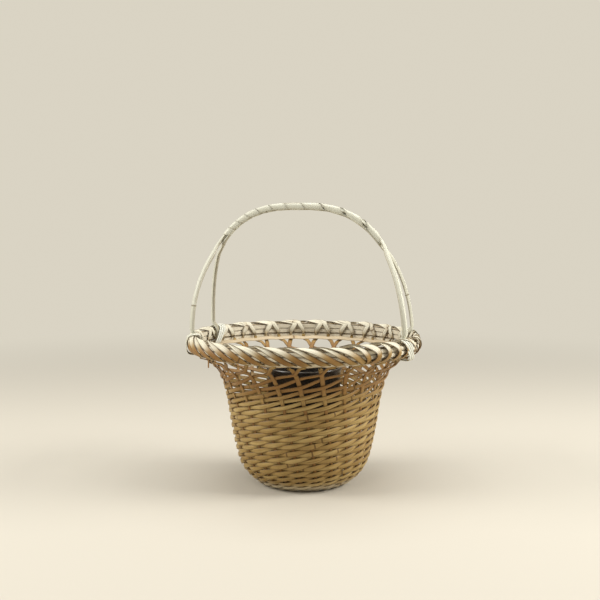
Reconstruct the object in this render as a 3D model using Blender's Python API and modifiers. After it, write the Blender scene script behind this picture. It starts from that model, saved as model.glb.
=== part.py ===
# Split-bamboo basket for flowers, with a hooped handle and a lift-out water cup.
# Metres, +Z up. The origin is the middle of the foot, on the surface that it stands on.
# The front of the basket faces -Y.

import bpy
import bmesh
import math
from bisect import bisect_left
from mathutils import Matrix, Vector

# Driving dimensions of the basket
BODY_HEIGHT = 0.150        # foot to the crest of the border
RIM_RADIUS = 0.116         # widest part of the border
WALL_THICK = 0.0026
GAP = 0.0003               # running gap between pieces that touch
SPLINT_COUNT = 24          # stakes, and as many weavers
STAKE_WIDTH = 0.0045
STAKE_THICK = 0.0009
WEAVER_WIDTH = 0.0031
WEAVER_THICK = 0.0007
STAKE_LEAN = math.radians(21)      # how far a stake leans to the left between foot and border
OVER_CLEAR = 0.0015                # between a weaver and the stake that it passes outside
UNDER_CLEAR = 0.0006               # between a weaver and the stake that it passes inside
WEAVER_START_CLEAR = 0.0009        # between a weaver's foot and the dense wall's top
BORDER_TURN = math.radians(7.5)    # azimuth of the first stake in the border
TURNED_STEPS = 48
WIDEST_STRETCH = 1.6       # the most that a leaning winding widens along its core

# Outer profile of the wall, foot to border: shares of BODY_HEIGHT and of RIM_RADIUS
WALL_PROFILE_SHARES = (
    (0.000, 0.405), (0.047, 0.457), (0.133, 0.543), (0.253, 0.590), (0.413, 0.631),
    (0.567, 0.664), (0.693, 0.707), (0.760, 0.748), (0.807, 0.802), (0.847, 0.866), (0.877, 0.921),
)
WALL_TOP_SHARE = 0.700             # share of the profile's length where the dense weave ends
ROW_SHARES = (0.746, 0.780, 0.822, 0.905)  # shares of it where weavers cross stakes in the openwork
STAKE_FOOT_SHARE = 0.035            # share of it where the stakes start, above the base
FOOT_RING_WIDTH = 0.0034           # width of the flat ring that the wall stands on

# Base
BASE_THICK = 0.003

# Border and its core hoop
ROLL_HALF_WIDTH = 0.00475
ROLL_HALF_HEIGHT = 0.0081
BORDER_SLACK = 0.0006              # extra room between the core hoop and the folds round it
FOLD_SWEEP = math.radians(26)      # how far a fold runs along the border
FOLD_START = math.radians(212)     # where a fold meets the roll, low on its inner side
FOLD_END = math.radians(-70)       # where it tucks under, low on the outer side
FOLD_STEPS = 11
FOLD_RISE_SHARE = 0.3              # share of a fold that rises before it runs along the border

# Waist hoop, lying in the bend under the border
WAIST_HEIGHT = 0.0036
WAIST_THICK = 0.0012

# Handle
HANDLE_HEIGHT = 0.276              # floor to the middle of the handle's crown
HANDLE_LEAN = 0.0051               # how far the crown stands to the left of the middle
HANDLE_TURN = math.radians(-11.25) # the handle's plane, turned from the X axis
FOOT_SPREAD = math.radians(19.5)   # each foot's azimuth to either side of that plane
HOOP_WIDTH = 0.0062
HOOP_THICK = 0.0023
HOOP_CHAMFER = 0.0007
HANDLE_POWERS = (2.73, 1.99)       # squareness of the arch, along and up
JOIN_DEPTH = 0.034                 # below the crown, where the two hoops come together
FOOT_DEPTH = 0.0130                # how far a foot reaches below the crest
FOOT_FLARE = 2.1                   # how soon the hoops part, going down
CRANK_DEPTH = 0.0040               # below the crest, where a foot starts to bend out over the border
CRANK_HEIGHT = 0.0100              # height that the bend takes
CRANK_STEPS = 7
HOOP_STEPS = 38

# Splint wound round the two hoops
WRAP_WIDTH = 0.0062
WRAP_THICK = 0.0005
WRAP_PITCH_LEFT = 0.0085
WRAP_PITCH_RIGHT = 0.027
WRAP_STEPS = 16                    # points in each turn
WRAP_SLACK = 0.0006                # between the wrap's middle line and the hoops, beside its thickness
WRAP_RISE = 0.0069                 # how far above the join of the hoops it starts and ends
WRAP_SQUARENESS = 4

# Foot lashings
LASHING_WIDTH = 0.0027
LASHING_THICK = 0.0007
LASHING_PITCH = 0.0050             # between its two turns, along the border
LASHING_TURNS = 2
LASHING_STEPS = 20                 # points in each turn
LASHING_SQUARENESS = 3.2
LASHING_CLEAR = 0.0022             # beside the hoop's foot where the lashing goes over the crest
LASHING_LIFT = 0.0009              # above the border's crest and below its foot

# Water cup
CUP_RADIUS = 0.037
CUP_FOOT_RADIUS = 0.033
CUP_HEIGHT = 0.113
CUP_WALL = 0.002
CUP_FLOOR = 0.0025
CUP_LIP = 0.0009                   # how far the rounded lip stands out

# Places that follow from these
STEP = math.tau / SPLINT_COUNT
FACET_SLACK = RIM_RADIUS * (1 - math.cos(math.pi / TURNED_STEPS))
ROLL_RADIUS = RIM_RADIUS - ROLL_HALF_WIDTH
ROLL_HEIGHT = BODY_HEIGHT - ROLL_HALF_HEIGHT
FOLD_HALF_WIDTH = ROLL_HALF_WIDTH - STAKE_THICK / 2
FOLD_HALF_HEIGHT = ROLL_HALF_HEIGHT - STAKE_THICK / 2
CORE_HALF_WIDTH = ROLL_HALF_WIDTH - STAKE_THICK - GAP - BORDER_SLACK
CORE_HALF_HEIGHT = ROLL_HALF_HEIGHT - STAKE_THICK - GAP - BORDER_SLACK
RISER_RADIUS = ROLL_RADIUS - FOLD_HALF_WIDTH
WAIST_RADIUS = RISER_RADIUS + STAKE_THICK / 2 - GAP
WAIST_BOTTOM = BODY_HEIGHT * WALL_PROFILE_SHARES[-1][0]
WAIST_TOP = WAIST_BOTTOM + WAIST_HEIGHT
BUNDLE_HALF = HOOP_THICK + GAP / 2
JOIN_HEIGHT = HANDLE_HEIGHT - JOIN_DEPTH
FOOT_RADIUS_AT_BORDER = RISER_RADIUS - STAKE_THICK / 2 - GAP - HOOP_THICK / 2


for thing in list(bpy.data.objects):
    bpy.data.objects.remove(thing, do_unlink=True)
parts = bpy.data.collections.new("ikebana_basket")
bpy.context.scene.collection.children.link(parts)


def material(name, colour, roughness):
    """A plain finish for one kind of piece."""
    finish = bpy.data.materials.new(name)
    finish.use_nodes = True
    shader = finish.node_tree.nodes["Principled BSDF"]
    shader.inputs["Base Color"].default_value = (*colour, 1)
    shader.inputs["Roughness"].default_value = roughness
    shader.inputs["Metallic"].default_value = 0
    return finish


WALL_BAMBOO = material("wall_bamboo", (0.33, 0.21, 0.08), 0.6)
STAKE_BAMBOO = material("stake_bamboo", (0.45, 0.30, 0.13), 0.55)
WEAVER_BAMBOO = material("weaver_bamboo", (0.52, 0.36, 0.17), 0.55)
RIM_BAMBOO = material("rim_bamboo", (0.40, 0.26, 0.11), 0.6)
HANDLE_BAMBOO = material("handle_bamboo", (0.62, 0.57, 0.42), 0.5)
CUP_BLACK = material("cup_black", (0.012, 0.012, 0.011), 0.2)


def add(name, mesh, finish):
    """One named piece in the basket's collection."""
    piece = bpy.data.objects.new(name, mesh)
    if not mesh.materials:
        mesh.materials.append(finish)
    parts.objects.link(piece)
    return piece


def smoothed(share):
    """Eases from 0 to 1 as share does, level at both ends."""
    share = min(max(share, 0), 1)
    return share * share * (3 - 2 * share)


def cylindrical(radius, azimuth, height):
    """A place on the basket; azimuth 0 is the front and grows towards +X."""
    return Vector((radius * math.sin(azimuth), -radius * math.cos(azimuth), height))


def profile_points():
    """(radius, height) along the outer profile, a smooth line through the profile's shares."""
    corners = [Vector((r * RIM_RADIUS, z * BODY_HEIGHT)) for z, r in WALL_PROFILE_SHARES]
    ends = [2 * corners[0] - corners[1]] + corners + [2 * corners[-1] - corners[-2]]
    line = []
    for before, start, end, after in zip(ends, ends[1:], ends[2:], ends[3:]):
        for part in range(6):
            t = part / 6
            bend = (2 * before - 5 * start + 4 * end - after) * t * t
            bend += (3 * start - before - 3 * end + after) * t * t * t
            line.append(start + ((end - before) * t + bend) / 2)
    return line + [corners[-1]]


def measured(line):
    """A line's points with the length from its start to each."""
    reach = [0]
    for start, end in zip(line, line[1:]):
        reach.append(reach[-1] + (end - start).length)
    return line, reach


def line_at(measured_line, share):
    """(point, direction) at a share of a measured line's length."""
    line, reach = measured_line
    at = share * reach[-1]
    index = max(bisect_left(reach, at) - 1, 0)
    along = (line[index + 1] - line[index]).normalized()
    return line[index] + along * (at - reach[index]), along


PROFILE = measured(profile_points())
PROFILE_LENGTH = PROFILE[1][-1]


def wall_at(share, inset=0.0):
    """((radius, height), outward direction) at a share of the profile's length, inset into the wall."""
    place, along = line_at(PROFILE, share)
    out = Vector((along.y, -along.x))
    return place - out * inset, out


def wall_place(share, inset, azimuth):
    """(place, outward direction) in space at a share of the profile's length."""
    (radius, height), out = wall_at(share, inset)
    facing = cylindrical(out.x, azimuth, out.y)
    return cylindrical(radius, azimuth, height), facing


def stake_azimuth(share):
    """A stake's azimuth against its place in the border, leaning left as it rises."""
    return STAKE_LEAN * (1 - share)


def splint_section(width, thick, chamfer=0.0):
    """The section's corners as (across, out) pairs, anticlockwise."""
    if not chamfer:
        return [(sx * width / 2, sy * thick / 2) for sx, sy in ((-1, -1), (1, -1), (1, 1), (-1, 1))]
    corners = []
    for sx, sy in ((-1, -1), (1, -1), (1, 1), (-1, 1)):
        flat = (sx * (width / 2 - chamfer), sy * thick / 2)
        side = (sx * width / 2, sy * (thick / 2 - chamfer))
        corners += [flat, side] if sx * sy < 0 else [side, flat]
    return corners


def squared(route):
    """(place, across, facing) stations for a section square to a route of (place, outward) pairs."""
    stations = []
    for index, (place, out) in enumerate(route):
        ahead = route[min(index + 1, len(route) - 1)][0] - route[max(index - 1, 0)][0]
        across = ahead.cross(out).normalized()
        stations.append((place, across, across.cross(ahead).normalized()))
    return stations


def wound_flat(route):
    """Stations for a splint wound on a core: its section lies along the core, so that it bends flat.
    The route gives (place, outward, along the core); a leaning splint is wider along the core."""
    stations = []
    for index, (place, out, along) in enumerate(route):
        ahead = route[min(index + 1, len(route) - 1)][0] - route[max(index - 1, 0)][0]
        facing = (out - along * out.dot(along)).normalized()
        round_core = facing.cross(along)
        stretch = ahead.length / abs(ahead.dot(round_core))
        stations.append((place, along * min(stretch, WIDEST_STRETCH), facing))
    return stations


def least_gap(stations, width, steps):
    """The least gap in mm that a winding keeps to itself, on points from half a turn ahead of each."""
    places = [place for place, _, _ in stations]
    line = [here.lerp(ahead, part / 4) for here, ahead in zip(places, places[1:]) for part in range(4)]
    nearest = min(
        (ahead - here).length
        for index, here in enumerate(line)
        for ahead in line[index + 2 * steps:]
    )
    return (nearest - width) * 1000


def splint(name, stations, section):
    """A mesh that carries a section along (place, across, facing) stations."""
    mesh = bmesh.new()
    bmesh.ops.create_circle(mesh, cap_ends=True, segments=len(section), radius=1)
    mesh.faces.ensure_lookup_table()
    foot = face = mesh.faces[0]
    for index, (place, across, facing) in enumerate(stations):
        if index:
            grown = bmesh.ops.extrude_face_region(mesh, geom=[face])["geom"]
            if face is not foot:
                mesh.faces.remove(face)
            face = next(part for part in grown if isinstance(part, bmesh.types.BMFace))
        for corner, (width, height) in zip(face.verts, section):
            corner.co = place + across * width + facing * height
    bmesh.ops.recalc_face_normals(mesh, faces=mesh.faces)
    result = bpy.data.meshes.new(name)
    mesh.to_mesh(result)
    mesh.free()
    return result


def turned(name, profile, finish, closed=True, steps=TURNED_STEPS):
    """A piece turned about the axis from (radius, height) points that run down its outer side."""
    mesh = bmesh.new()
    corners = [mesh.verts.new((radius, 0, height)) for radius, height in profile]
    for start, end in zip(corners, corners[1:] + corners[:1] if closed else corners[1:]):
        mesh.edges.new((start, end))
    outline = bpy.data.meshes.new(name)
    mesh.to_mesh(outline)
    mesh.free()
    piece = add(name, outline, finish)
    screw = piece.modifiers.new("turn", "SCREW")
    screw.steps = steps
    screw.render_steps = steps
    screw.use_merge_vertices = True
    screw.merge_threshold = GAP / 10
    screw.use_smooth_shade = True
    return piece


# The base, and the dense wall that stands round it
foot_radius = wall_at(0)[0].x
base_radius = foot_radius - FOOT_RING_WIDTH - GAP - FACET_SLACK
turned(
    "base_weave",
    [(0, BASE_THICK), (base_radius, BASE_THICK), (base_radius, 0), (0, 0)],
    WALL_BAMBOO,
    closed=False,
)


def dense_wall_profile():
    """Down the outer side from the top of the dense weave, across the foot and up the inner side."""
    rings = 13
    outer = [wall_at(WALL_TOP_SHARE * ring / rings)[0] for ring in range(rings, -1, -1)]
    inner = [wall_at(WALL_TOP_SHARE * ring / rings, WALL_THICK)[0] for ring in range(1, rings + 1)]
    return outer + [Vector((foot_radius - FOOT_RING_WIDTH, 0))] + inner


turned("woven_wall", dense_wall_profile(), WALL_BAMBOO)

# The hoop inside the border, and the waist hoop in the bend under it
turned(
    "rim_core_hoop",
    [
        (ROLL_RADIUS + CORE_HALF_WIDTH * math.cos(turn), ROLL_HEIGHT + CORE_HALF_HEIGHT * math.sin(turn))
        for turn in (math.tau * part / 8 + math.pi / 8 for part in range(8, 0, -1))
    ],
    RIM_BAMBOO,
)
turned(
    "waist_hoop",
    [
        (WAIST_RADIUS, WAIST_TOP), (WAIST_RADIUS, WAIST_BOTTOM),
        (WAIST_RADIUS - WAIST_THICK, WAIST_BOTTOM), (WAIST_RADIUS - WAIST_THICK, WAIST_TOP),
    ],
    RIM_BAMBOO,
)


def fold_route():
    """Up the inner side of the roll, over the crest and down the outer side, running right."""
    route = []
    for step in range(FOLD_STEPS):
        share = step / (FOLD_STEPS - 1)
        turn = FOLD_START + (FOLD_END - FOLD_START) * share
        azimuth = FOLD_SWEEP * max(share - FOLD_RISE_SHARE, 0) / (1 - FOLD_RISE_SHARE)
        radius = ROLL_RADIUS + FOLD_HALF_WIDTH * math.cos(turn)
        height = ROLL_HEIGHT + FOLD_HALF_HEIGHT * math.sin(turn)
        facing = cylindrical(math.cos(turn) / FOLD_HALF_WIDTH, azimuth, math.sin(turn) / FOLD_HALF_HEIGHT)
        route.append((cylindrical(radius, azimuth, height), facing.normalized()))
    return route


def stake_route():
    """Inside the dense wall, out into the openwork, round the waist hoop and over the border."""
    inside = WALL_THICK + GAP + FACET_SLACK + STAKE_THICK / 2
    steps = 7
    route = []
    for step in range(steps + 1):
        share = STAKE_FOOT_SHARE + (WALL_TOP_SHARE - STAKE_FOOT_SHARE) * step / steps
        route.append(wall_place(share, inside, stake_azimuth(share)))
    for share in (*ROW_SHARES, (ROW_SHARES[-1] + 1) / 2):
        route.append(wall_place(share, WALL_THICK / 2, stake_azimuth(share)))
    bend = WAIST_RADIUS + GAP + STAKE_THICK / 2
    route.append((cylindrical(bend, 0, WAIST_BOTTOM - STAKE_THICK), cylindrical(1, 0, 0)))
    return route + fold_route()


def weaver_route():
    """From the top of the dense wall, over and under the stakes, inside the waist hoop and over."""
    reach = WALL_THICK / 2
    over = reach - STAKE_THICK / 2 - WEAVER_THICK / 2 - OVER_CLEAR
    under = reach + STAKE_THICK / 2 + WEAVER_THICK / 2 + UNDER_CLEAR
    rows = len(ROW_SHARES)
    rise = ROW_SHARES[1] - ROW_SHARES[0]
    start = WALL_TOP_SHARE + (WEAVER_WIDTH / 2 + WEAVER_START_CLEAR) / PROFILE_LENGTH
    start_step = (ROW_SHARES[0] - start) / rise
    stops = [(start, rows + start_step, reach)]
    for row, share in enumerate(ROW_SHARES):
        stops.append((share, rows - row, over if (rows - row) % 2 else under))
    middle = (ROW_SHARES[-1] + 1) / 2
    stops.insert(-1, ((ROW_SHARES[-2] + ROW_SHARES[-1]) / 2, 1.5, reach))
    route = []
    for share, steps, inset in stops:
        turn = stake_azimuth(share) - steps * STEP + STEP / 2
        route.append(wall_place(share, inset, turn))
    within = WAIST_RADIUS - WAIST_THICK - GAP - FACET_SLACK - WEAVER_THICK / 2
    route.append(wall_place(middle, reach + WEAVER_THICK, stake_azimuth(middle) - STEP / 4))
    for height in (WAIST_BOTTOM, WAIST_TOP):
        route.append((cylindrical(within, 0, height), cylindrical(1, 0, 0)))
    return route + fold_route()


# Stakes and weavers, each ending in its own fold over the border
stake_mesh = splint("stake", squared(stake_route()), splint_section(STAKE_WIDTH, STAKE_THICK))
weaver_mesh = splint("weaver", squared(weaver_route()), splint_section(WEAVER_WIDTH, WEAVER_THICK))
for number in range(SPLINT_COUNT):
    stake = add(f"stake_{number + 1:02d}", stake_mesh, STAKE_BAMBOO)
    stake.rotation_euler.z = BORDER_TURN + STEP * number
    weaver = add(f"weaver_{number + 1:02d}", weaver_mesh, WEAVER_BAMBOO)
    weaver.rotation_euler.z = BORDER_TURN + STEP * (number + 0.5)


# The handle: two hoops that stand apart at their feet and lie one on the other at the top
border_reach = ROLL_RADIUS * math.cos(FOOT_SPREAD)
border_apart = ROLL_RADIUS * math.sin(FOOT_SPREAD)
handle_frame = Matrix.Rotation(HANDLE_TURN, 4, "Z")


def arch_points():
    """(reach, height) along the handle's middle line, from its left foot over the crown to its right."""
    along, up = HANDLE_POWERS
    rise = HANDLE_HEIGHT - BODY_HEIGHT
    line = [Vector((-border_reach, BODY_HEIGHT - FOOT_DEPTH))]
    for step in range(-60, 61):
        across = math.sin(math.pi / 2 * step / 60)
        share = (1 - abs(across) ** along) ** (1 / up)
        line.append(Vector((across * border_reach - HANDLE_LEAN * share, BODY_HEIGHT + rise * share)))
    return line + [Vector((border_reach, BODY_HEIGHT - FOOT_DEPTH))]


ARCH = measured(arch_points())
ARCH_LENGTH = ARCH[1][-1]


def arch_at(share):
    """(place, outward direction) on the middle line, in the handle's own plane."""
    (reach, height), along = line_at(ARCH, share)
    return Vector((reach, 0, height)), Vector((-along.y, 0, along.x))


def hoop_lengths():
    """The lengths along the middle line at which a hoop has stations, closer where its feet bend."""
    bend = FOOT_DEPTH - CRANK_DEPTH
    foot = [0, bend / 2] + [bend + CRANK_HEIGHT * step / CRANK_STEPS for step in range(CRANK_STEPS + 1)]
    span = ARCH_LENGTH - 2 * foot[-1]
    middle = [foot[-1] + span * step / HOOP_STEPS for step in range(1, HOOP_STEPS)]
    return foot + middle + [ARCH_LENGTH - at for at in reversed(foot)]


def hoop_route(side):
    """One hoop's route, on side -1, the front, or +1, the back. At the top the front one lies outside
    the back one; near its feet each is drawn in round the inner side of the border."""
    route = []
    for at in hoop_lengths():
        place, out = arch_at(at / ARCH_LENGTH)
        joined = min(max((place.z - BODY_HEIGHT) / (JOIN_HEIGHT - BODY_HEIGHT), 0), 1)
        apart = border_apart * (1 - joined ** FOOT_FLARE)
        stacked = 1 - smoothed((apart - HOOP_WIDTH / 2) / (3 * HOOP_WIDTH / 2))
        place -= out * side * stacked * (HOOP_THICK + GAP) / 2
        place.y = side * apart
        drawn = 1 - smoothed((place.z - BODY_HEIGHT + CRANK_DEPTH) / CRANK_HEIGHT)
        share = 1 - drawn * (1 - FOOT_RADIUS_AT_BORDER / ROLL_RADIUS)
        facing = Vector((out.x, out.x * place.y / place.x if apart else 0, out.z))
        place.x *= share
        place.y *= share
        route.append((handle_frame @ place, handle_frame @ facing))
    return route


hoop_section = splint_section(HOOP_WIDTH, HOOP_THICK, HOOP_CHAMFER)
for side, name in ((-1, "handle_hoop_front"), (1, "handle_hoop_back")):
    add(name, splint(name, squared(hoop_route(side)), hoop_section), HANDLE_BAMBOO)


def arch_share_at(height):
    """The share of the arch's length, from its left foot, where it first reaches a height."""
    line, reach = ARCH
    index = next(index for index, place in enumerate(line) if place.y >= height)
    (_, below), (_, above) = line[index - 1], line[index]
    at = reach[index - 1] + (reach[index] - reach[index - 1]) * (height - below) / (above - below)
    return at / reach[-1]


def wrap_route():
    """A splint wound round both hoops, its pitch growing steadily from left to right."""
    start = arch_share_at(JOIN_HEIGHT + WRAP_RISE)
    length = ARCH_LENGTH * (1 - 2 * start)
    growth = (WRAP_PITCH_RIGHT - WRAP_PITCH_LEFT) / length
    turns = math.log(WRAP_PITCH_RIGHT / WRAP_PITCH_LEFT) / growth
    steps = round(turns * WRAP_STEPS)
    half_out = BUNDLE_HALF + WRAP_SLACK + WRAP_THICK / 2
    half_side = HOOP_WIDTH / 2 + WRAP_SLACK + WRAP_THICK / 2
    power = WRAP_SQUARENESS
    route = []
    for step in range(steps + 1):
        turned_by = turns * step / steps
        run = WRAP_PITCH_LEFT / growth * (math.exp(turned_by * growth) - 1)
        place, out = arch_at(start + run / ARCH_LENGTH)
        along = Vector((out.z, 0, -out.x))
        across, side = math.cos(math.tau * turned_by), -math.sin(math.tau * turned_by)
        square = (across ** power + side ** power) ** (-1 / power)
        place += out * half_out * across * square + Vector((0, half_side * side * square, 0))
        facing = out * across ** (power - 1) + Vector((0, side ** (power - 1), 0))
        route.append((handle_frame @ place, handle_frame @ facing, handle_frame @ along))
    return route


wrap = wound_flat(wrap_route())
add("handle_wrap", splint("handle_wrap", wrap, splint_section(WRAP_WIDTH, WRAP_THICK)), HANDLE_BAMBOO)
print(f"handle_wrap: least gap to itself {least_gap(wrap, WRAP_WIDTH, WRAP_STEPS):.2f} mm")


def lashing_route(azimuth, sense):
    """A splint wound twice, leaning, round the border and the foot of one hoop."""
    inner = FOOT_RADIUS_AT_BORDER - HOOP_THICK / 2 - GAP - LASHING_THICK / 2 - STAKE_THICK
    outer = RIM_RADIUS + GAP + LASHING_THICK / 2
    top = BODY_HEIGHT + LASHING_LIFT + LASHING_THICK / 2
    bottom = WAIST_BOTTOM - LASHING_LIFT - LASHING_THICK / 2
    lean = (HOOP_WIDTH + LASHING_WIDTH + LASHING_PITCH) / 2 + LASHING_CLEAR
    power = LASHING_SQUARENESS
    route = []
    for step in range(LASHING_TURNS * LASHING_STEPS + 1):
        turns = step / LASHING_STEPS
        across, up = math.cos(math.tau * turns), math.sin(math.tau * turns)
        square = (abs(across) ** power + abs(up) ** power) ** (-1 / power)
        radius = (inner + outer) / 2 + (outer - inner) / 2 * across * square
        height = (top + bottom) / 2 + (top - bottom) / 2 * up * square
        swing = lean * up * square + LASHING_PITCH * (turns - LASHING_TURNS / 2)
        turn = azimuth + sense * swing / RIM_RADIUS
        facing = cylindrical(abs(across) ** (power - 1) * across, turn, abs(up) ** (power - 1) * up)
        route.append((cylindrical(radius, turn, height), facing, cylindrical(-1, turn - math.pi / 2, 0)))
    return route


feet = (
    ("front_right", -FOOT_SPREAD, -1), ("back_right", FOOT_SPREAD, 1),
    ("back_left", math.pi - FOOT_SPREAD, -1), ("front_left", math.pi + FOOT_SPREAD, 1),
)
for foot, turn, sense in feet:
    name = f"foot_lashing_{foot}"
    lashing = wound_flat(lashing_route(math.pi / 2 + HANDLE_TURN + turn, sense))
    add(name, splint(name, lashing, splint_section(LASHING_WIDTH, LASHING_THICK)), HANDLE_BAMBOO)
    print(f"{name}: least gap to itself {least_gap(lashing, LASHING_WIDTH, LASHING_STEPS):.2f} mm")


def cup_profile():
    """Up the inside from the middle of the floor, over the lip and down the outside to the foot."""
    slope = (CUP_RADIUS - CUP_FOOT_RADIUS) / CUP_HEIGHT
    inside_foot = CUP_FOOT_RADIUS - CUP_WALL + slope * CUP_FLOOR
    return [
        (0, CUP_FLOOR), (inside_foot - CUP_FLOOR, CUP_FLOOR), (inside_foot, 2 * CUP_FLOOR),
        (CUP_RADIUS - CUP_WALL, CUP_HEIGHT - CUP_LIP), (CUP_RADIUS - CUP_WALL / 2, CUP_HEIGHT),
        (CUP_RADIUS + CUP_LIP / 2, CUP_HEIGHT), (CUP_RADIUS + CUP_LIP, CUP_HEIGHT - CUP_LIP),
        (CUP_RADIUS, CUP_HEIGHT - 3 * CUP_LIP),
        (CUP_FOOT_RADIUS + slope * CUP_FLOOR, CUP_FLOOR / 2), (CUP_FOOT_RADIUS - CUP_FLOOR / 2, 0), (0, 0),
    ]


# The water cup stands on the base and lifts out along the axis
cup = turned("water_cup", cup_profile(), CUP_BLACK, closed=False, steps=40)
cup.location.z = BASE_THICK + GAP
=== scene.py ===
# A round ikebana basket of split bamboo, woven by hand, with a hooped handle and a dark water cup.
# Metres, +Z up; the front faces -Y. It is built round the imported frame, from the ground upwards.

import math
import random

import bmesh
import bpy
from mathutils import Matrix, Vector


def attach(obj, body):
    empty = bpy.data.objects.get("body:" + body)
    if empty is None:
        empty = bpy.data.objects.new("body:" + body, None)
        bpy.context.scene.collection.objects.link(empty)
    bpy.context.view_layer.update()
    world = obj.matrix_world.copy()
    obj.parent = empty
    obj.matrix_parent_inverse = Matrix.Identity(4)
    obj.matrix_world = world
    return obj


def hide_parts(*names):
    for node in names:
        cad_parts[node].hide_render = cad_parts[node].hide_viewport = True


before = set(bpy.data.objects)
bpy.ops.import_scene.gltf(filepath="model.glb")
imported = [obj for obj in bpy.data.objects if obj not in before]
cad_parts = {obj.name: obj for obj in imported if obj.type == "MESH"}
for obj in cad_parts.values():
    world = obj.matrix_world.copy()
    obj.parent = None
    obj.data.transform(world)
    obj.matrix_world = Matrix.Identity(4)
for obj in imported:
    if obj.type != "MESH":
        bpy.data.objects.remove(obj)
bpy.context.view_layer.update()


# Base mat. The bottom of the basket is flat splints crossed square in plain weave and cut to a
# circle. They are split bamboo, pale straw with fine fibres, darker edges and a dark ring at each node.
MAT_RADIUS = 0.0395
MAT_WIDTH = 0.0052
MAT_PITCH = 0.0057
MAT_THICK = 0.0006
MAT_MIDDLE = 0.0020
MAT_WAVE = 0.6
MAT_STEPS = 6
EDGE_EASE = 0.32
SKIN_LEVELS = (-0.2, 0.35, 0.84)
PITH_LEVEL = -0.3
NODE_SPACING = 0.19
RIDGE_REACH = 0.0016
CULM_LENGTH = 3
SAME_PLACE = 1e-6


def splint_section(width, thick):
    """A split strip's section as (across, out): flat pith side, eased edges and a crowned skin side."""
    half = width / 2
    skin = thick / 2
    ease = EDGE_EASE * thick
    edge, shoulder, crown = (level * skin for level in SKIN_LEVELS)
    return [
        (-half, ease - skin), (ease - half, -skin), (half - ease, -skin), (half, ease - skin),
        (half, edge), (half - ease, shoulder), (half / 2, crown), (0, skin),
        (-half / 2, crown), (ease - half, shoulder), (-half, edge),
    ]


def squared(route):
    """(place, across, facing) stations for a section square to a route of (place, outward) pairs."""
    stations = []
    for index, (place, out) in enumerate(route):
        ahead = route[min(index + 1, len(route) - 1)][0] - route[max(index - 1, 0)][0]
        across = ahead.cross(out).normalized()
        stations.append((place, across, across.cross(ahead).normalized()))
    return stations


def lay_splint(name, stations, width, thick, seed, marks=None, start=None, ridge=0.0):
    """A strip of split bamboo laid along its stations. The map runs along it in metres and across it
    from 0 to 1; marks gives how pale and how brown it is painted at each station, from 0 to 1: the
    paleness stands partly for fresher skin and partly for painted light, the brown for painted shade.
    It swells by the ridge's share at each node, and start sets where the nodes come."""
    section = splint_section(width, thick)
    chance = random.Random(seed)
    tone = chance.random()
    reach = [CULM_LENGTH * chance.random() if start is None else start]
    for (here, _, _), (ahead, _, _) in zip(stations, stations[1:]):
        reach.append(reach[-1] + (ahead - here).length)
    mesh = bmesh.new()
    bmesh.ops.create_grid(mesh, x_segments=len(stations) - 1, y_segments=len(section), size=0.5)
    grain = mesh.loops.layers.uv.new("grain")
    tones = mesh.verts.layers.float.new("tone")
    paleness = mesh.verts.layers.float.new("paleness")
    painted_shades = mesh.verts.layers.float.new("brown")
    piths = mesh.verts.layers.float.new("pith_and_shade")
    for corner in mesh.verts:
        step = round((corner.co.x + 0.5) * (len(stations) - 1))
        side = round((corner.co.y + 0.5) * len(section)) % len(section)
        place, across, facing = stations[step]
        wide, out = section[side]
        from_node = NODE_SPACING * (reach[step] / NODE_SPACING % 1 - 0.5)
        swell = 1 + ridge * math.exp(-(from_node / RIDGE_REACH) ** 2)
        corner.co = place + (across * wide + facing * out) * swell
        corner[tones] = tone
        corner[piths] = float(out < PITH_LEVEL * thick)
        if marks:
            corner[paleness], corner[painted_shades] = marks[step]
        for loop in corner.link_loops:
            loop[grain].uv = (reach[step], wide / width + 0.5)
    bmesh.ops.remove_doubles(mesh, verts=mesh.verts, dist=SAME_PLACE)
    bmesh.ops.holes_fill(mesh, edges=[edge for edge in mesh.edges if edge.is_boundary])
    bmesh.ops.recalc_face_normals(mesh, faces=mesh.faces)
    return finished(name, mesh)


def finished(name, mesh, sharp=42):
    """The bmesh as an object, smooth but for its sharp edges."""
    data = bpy.data.meshes.new(name)
    mesh.to_mesh(data)
    mesh.free()
    data.shade_smooth()
    data.set_sharp_from_angle(angle=math.radians(sharp))
    piece = bpy.data.objects.new(name, data)
    bpy.context.scene.collection.objects.link(piece)
    return piece


# Fibres and blotches are given by their waves along a metre, their waves across the strip, their
# detail and their distortion. Each effect has the range it rises over and its share of the colour.
FIBRES = (14, 22, 3, 0)
BLOTCHES = (38, 1.6, 2, 0.6)
TONE_SHIFT = 53.0
TONE_RANGE = (-0.2, 1.3)
BLOTCH_RANGE = (0.38, 0.66)
BLOTCH_SHARE = 0.7
PALE_SKIN_SHARE = 0.92
SHADE_BROWN_SHARE = 0.85
FIBRE_RANGE = (0.45, 0.7)
EDGE_RANGE = (0.30, 0.5)
HALO_RANGE = (0.006, 0.001)
HALO_SHARE = 0.35
RING_RANGE = (0.0011, 0.0004)
RING_SHARE = 0.8
BUMP_STRENGTH = 0.5
FIBRE_HEIGHT = 0.8
RING_HEIGHT = 0.9
SHADE_BROWN = (0.26, 0.12, 0.03)
PITH_AND_SHADE = (0.30, 0.25, 0.15)


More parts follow.
